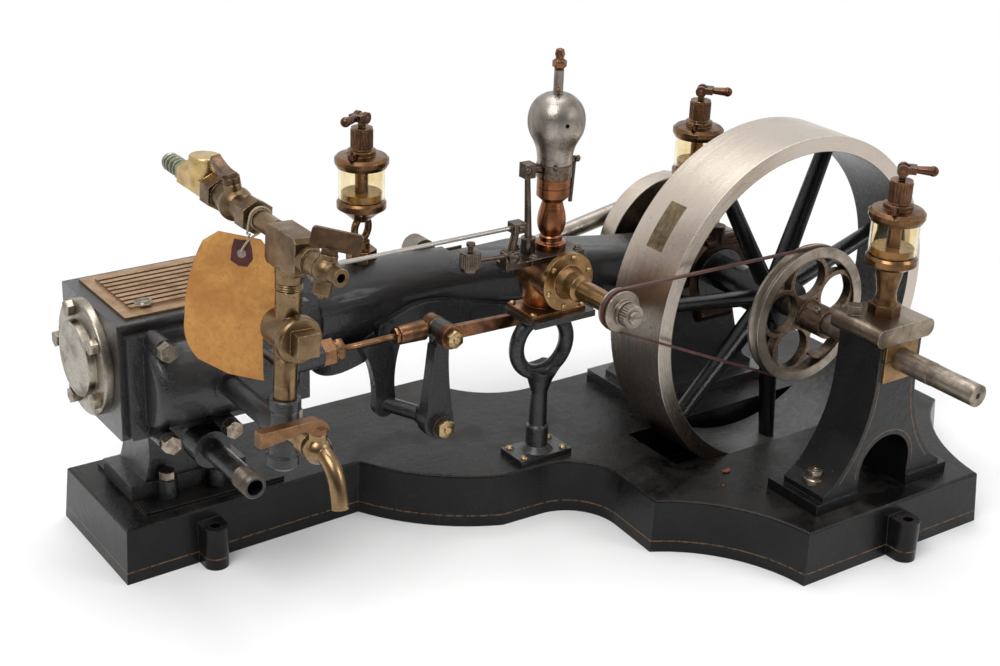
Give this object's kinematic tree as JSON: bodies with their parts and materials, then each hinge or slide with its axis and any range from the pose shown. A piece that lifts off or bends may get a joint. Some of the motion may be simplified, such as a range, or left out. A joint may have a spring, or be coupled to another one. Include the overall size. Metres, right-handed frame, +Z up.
{
  "type": "model stationary steam engine",
  "caption": "Model horizontal steam engine with girder frame, flywheel, belt-driven governor, glass oilers and brass steam fittings on a black bedplate.",
  "frame": {"origin": "on the bed's underside, under the middle of the main bearing", "axes": "+X from the cylinder towards the crank, +Y from the outboard bearing towards the cylinder's side, +Z up"},
  "size_m": [0.627, 0.4085, 0.335],
  "materials": {
    "black_enamel": "gloss",
    "nickel": "satin",
    "lagging_bronze": "satin",
    "aged_brass": "satin",
    "bright_brass": "polished",
    "gunmetal": "satin",
    "polished_steel": "polished",
    "worn_steel": "satin",
    "oiler_glass": "clear",
    "belt_leather": "matte",
    "manila": "matte",
    "string": "matte"
  },
  "bodies": {
    "engine": {"bedplate": "black_enamel", "cylinder_block": "black_enamel", "cylinder_cover": "nickel", "cylinder_bolts": "nickel", "lagging_plate": "lagging_bronze", "steam_chest": "black_enamel", "exhaust_pipe": "black_enamel", "steam_tee": "black_enamel", "steam_riser": "aged_brass", "throttle_valve_body": "aged_brass", "pipe_block": "aged_brass", "petcock": "aged_brass", "steam_cock": "aged_brass", "check_valve": "bright_brass", "drain_cock": "aged_brass", "girder_frame": "black_enamel", "piston_rod": "polished_steel", "crosshead": "worn_steel", "connecting_rod": "polished_steel", "valve_rod_gland": "gunmetal", "valve_rod": "gunmetal", "rocker_arm": "black_enamel", "rocker_bracket": "black_enamel", "eccentric_rod": "gunmetal", "eccentric_sheave": "black_enamel", "main_bearing_pedestal": "black_enamel", "outboard_bearing_pedestal": "black_enamel", "bearing_brasses": "bright_brass", "bearing_caps": "nickel", "governor_stand": "black_enamel", "governor_gearbox": "gunmetal", "governor_shaft_bearing": "gunmetal", "governor_top_plate": "black_enamel", "governor_column": "gunmetal", "governor_linkage": "worn_steel", "drive_belt": "belt_leather", "oiler_bodies": "gunmetal", "oiler_glasses": "oiler_glass", "paper_tag": "manila", "tag_string": "string"},
    "shaft": {"crankshaft": "worn_steel", "crank_disc": "polished_steel", "flywheel_rim": "polished_steel", "flywheel_spokes": "black_enamel", "belt_pulley": "worn_steel"},
    "governor_drive": {"governor_pulley": "worn_steel"},
    "governor_spindle": {"governor_head": "polished_steel"},
    "petcock_handle": {"petcock_lever": "aged_brass"},
    "steam_cock_handle": {"steam_cock_lever": "aged_brass"},
    "drain_cock_handle": {"drain_cock_lever": "gunmetal"},
    "crosshead_oiler_handle": {"crosshead_oiler_lever": "gunmetal"},
    "main_oiler_handle": {"main_oiler_lever": "gunmetal"},
    "outboard_oiler_handle": {"outboard_oiler_lever": "gunmetal"}
  },
  "joints": [
    {"name": "shaft_spin", "type": "hinge", "parent": "engine", "child": "shaft", "pos_m": [0, 0, 0.1422], "axis": [0, 1, 0], "continuous": true},
    {"name": "governor_drive_spin", "type": "hinge", "parent": "engine", "child": "governor_drive", "pos_m": [-0.173, -0.125, 0.181], "axis": [0, 1, 0], "continuous": true},
    {"name": "governor_spindle_spin", "type": "hinge", "parent": "engine", "child": "governor_spindle", "pos_m": [-0.169, -0.0425, 0.2566], "axis": [0, 0, 1], "continuous": true},
    {"name": "petcock_turn", "type": "hinge", "parent": "engine", "child": "petcock_handle", "pos_m": [-0.39227, -0.12893, 0.25275], "axis": [0.225, 0, 0.9744], "range_deg": [0, 90]},
    {"name": "steam_cock_turn", "type": "hinge", "parent": "engine", "child": "steam_cock_handle", "pos_m": [-0.39361, -0.02, 0.25883], "axis": [-0.1564, 0, 0.9877], "range_deg": [0, 90]},
    {"name": "drain_cock_turn", "type": "hinge", "parent": "engine", "child": "drain_cock_handle", "pos_m": [-0.39626, -0.12481, 0.13851], "axis": [0.0523, 0, 0.9986], "range_deg": [0, 90]},
    {"name": "crosshead_oiler_snap", "type": "hinge", "parent": "engine", "child": "crosshead_oiler_handle", "pos_m": [-0.2595, 0.057, 0.2745], "axis": [-0.4067, 0.9135, 0], "range_deg": [0, 90]},
    {"name": "main_oiler_snap", "type": "hinge", "parent": "engine", "child": "main_oiler_handle", "pos_m": [0, 0.004, 0.273], "axis": [-0.7431, -0.6691, 0], "range_deg": [0, 90]},
    {"name": "outboard_oiler_snap", "type": "hinge", "parent": "engine", "child": "outboard_oiler_handle", "pos_m": [0, -0.196, 0.27], "axis": [-0.7431, -0.6691, 0], "range_deg": [0, 90]}
  ],
  "couplings": [
    {"joint": "governor_drive_spin", "follows": "shaft_spin", "ratio": 3.5755},
    {"joint": "governor_spindle_spin", "follows": "shaft_spin", "ratio": 3.5755}
  ]
}
